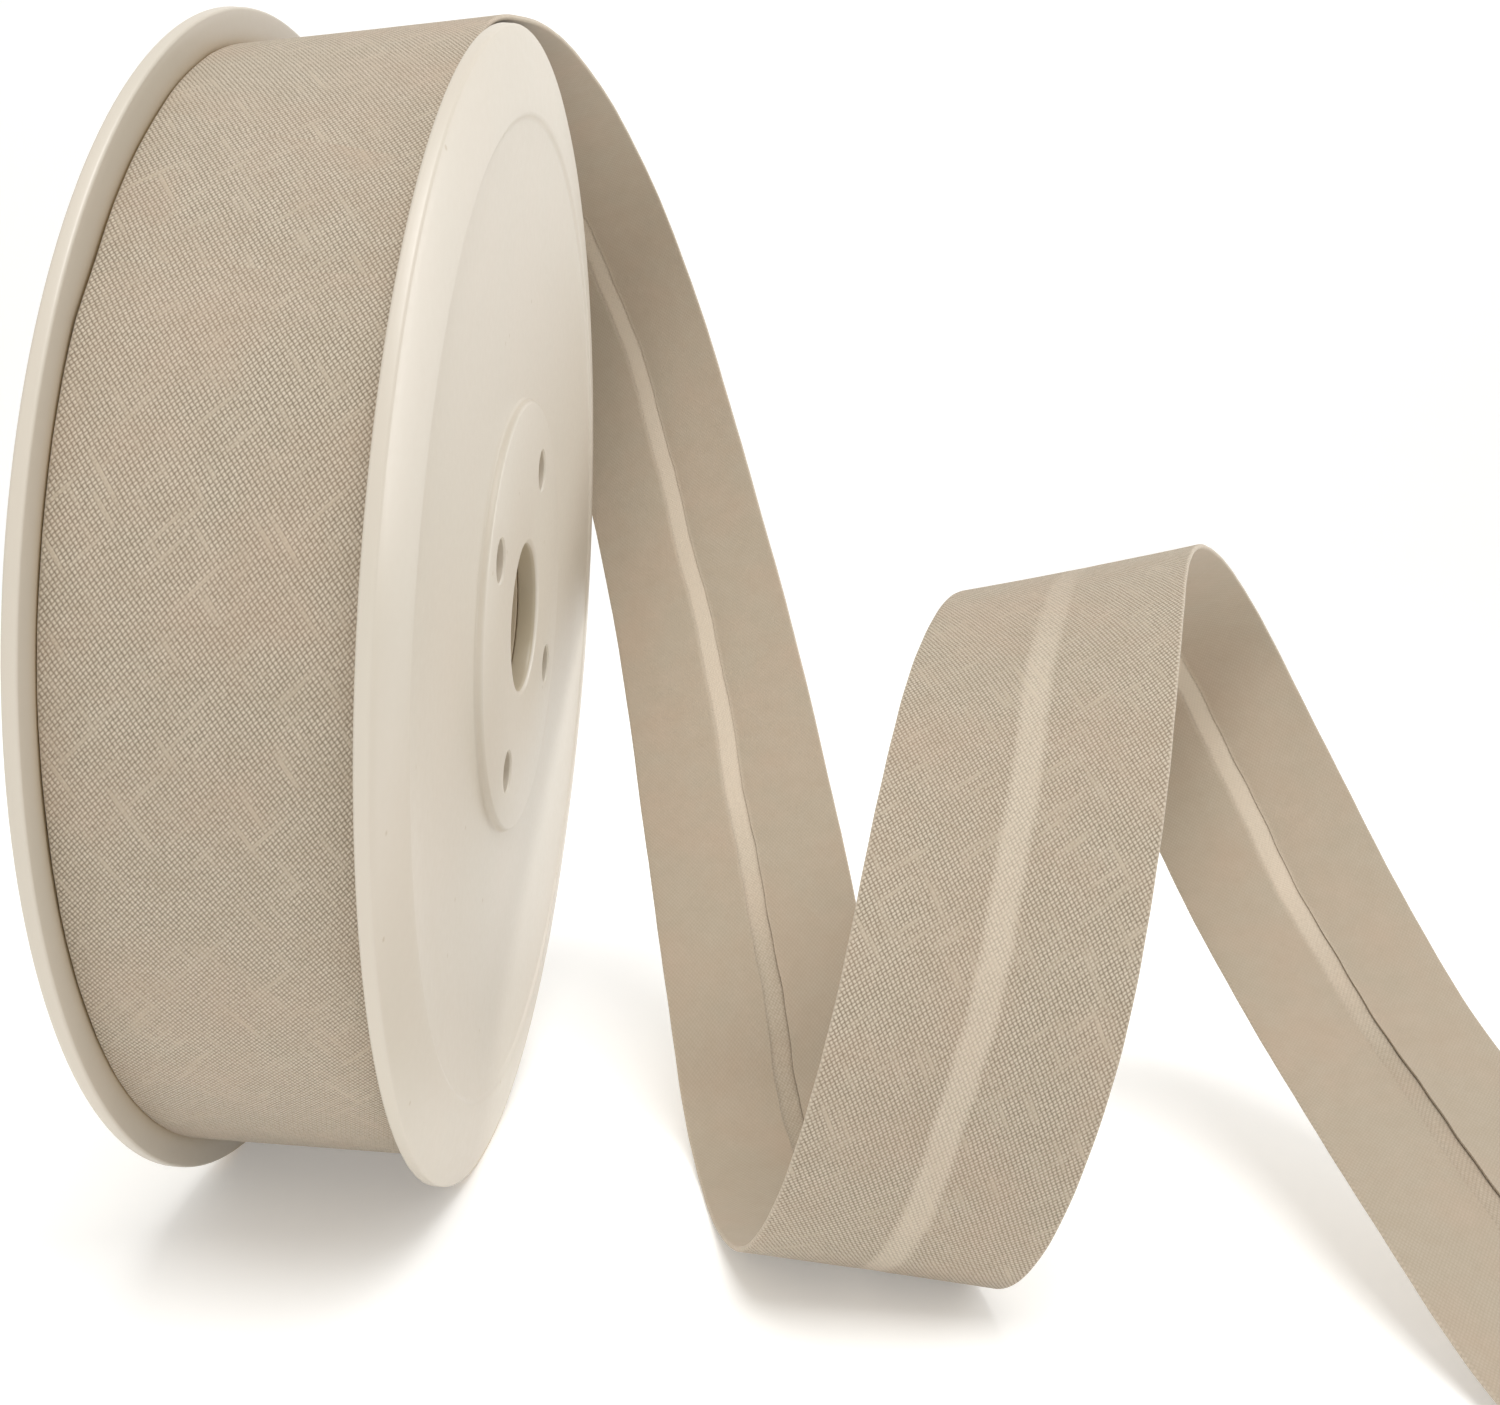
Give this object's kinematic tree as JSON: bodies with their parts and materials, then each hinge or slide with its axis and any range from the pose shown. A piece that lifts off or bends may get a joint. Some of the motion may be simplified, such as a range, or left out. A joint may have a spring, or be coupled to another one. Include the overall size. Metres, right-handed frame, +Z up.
{
  "type": "roll of bias tape",
  "caption": "Roll of single-fold cotton bias tape on an ivory plastic spool that stands on its rims, with its loose end curling off over the near flange.",
  "frame": {"origin": "middle of the flat spot under the near flange's rim, on the surface that the roll stands on", "axes": "+X along the spool's axis, out of the near flange and along the loose end; +Y to the back; +Z up"},
  "size_m": [0.1576, 0.1491, 0.1302],
  "materials": {
    "spool": "moulded, semi-gloss",
    "cloth": "plain weave, matte"
  },
  "bodies": {
    "root": {"near_flange": "spool", "far_flange": "spool", "core": "spool", "wound_tape": "cloth", "loose_end": "cloth"}
  },
  "joints": []
}
